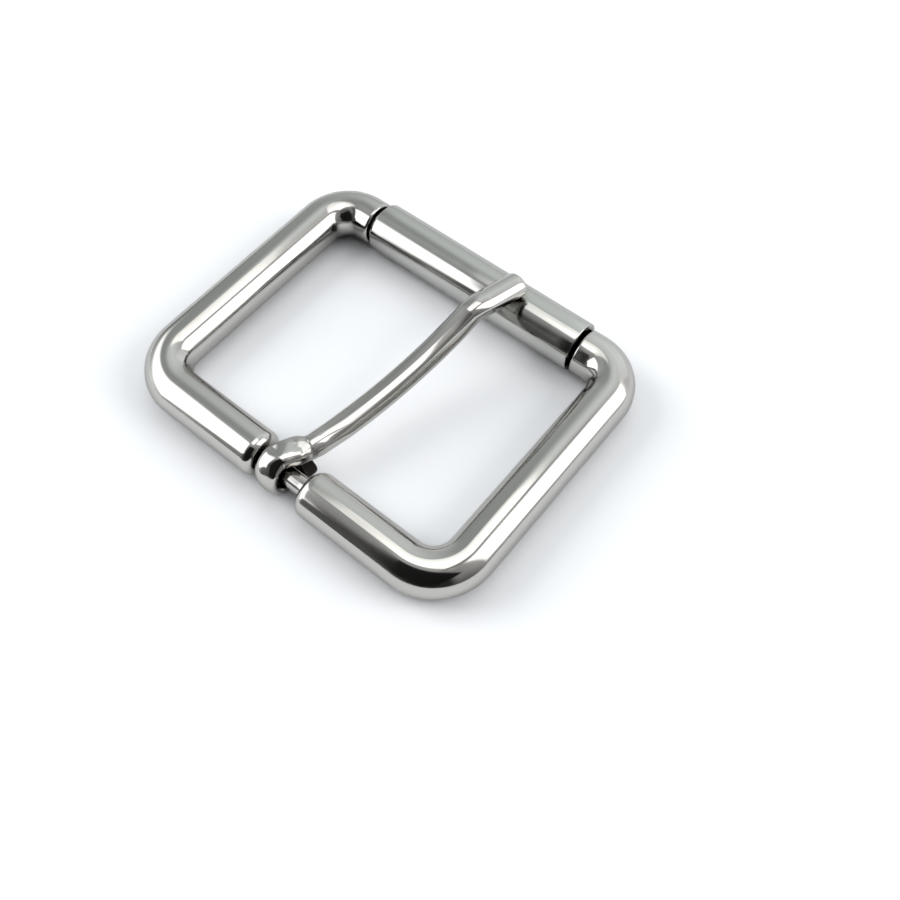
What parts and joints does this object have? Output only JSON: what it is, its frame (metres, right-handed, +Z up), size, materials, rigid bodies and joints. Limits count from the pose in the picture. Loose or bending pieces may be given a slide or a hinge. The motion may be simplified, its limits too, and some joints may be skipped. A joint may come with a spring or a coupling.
{
  "type": "roller buckle",
  "caption": "Rectangular wire belt buckle lying flat: a free-turning roller on the far bar and a bowed wire tongue that swings on a thin neck in the near bar.",
  "frame": {"origin": "on the surface that the buckle lies on, under the middle of its outline", "axes": "+X along the two long bars, +Y from the near bar with the tongue's loop to the far bar with the roller, +Z up"},
  "size_m": [0.0518, 0.0414, 0.0105],
  "materials": {
    "frame_metal": "polished",
    "roller_metal": "polished",
    "tongue_metal": "polished"
  },
  "bodies": {
    "frame": {"frame": "frame_metal"},
    "roller": {"roller": "roller_metal"},
    "tongue": {"tongue": "tongue_metal"}
  },
  "joints": [
    {"name": "tongue_hinge", "type": "hinge", "parent": "frame", "child": "tongue", "pos_m": [0, -0.01775, 0.00295], "axis": [1, 0, 0], "range_deg": [0, 170]},
    {"name": "roller_spin", "type": "hinge", "parent": "frame", "child": "roller", "pos_m": [0.0003, 0.01745, 0.00325], "axis": [1, 0, 0], "continuous": true}
  ]
}
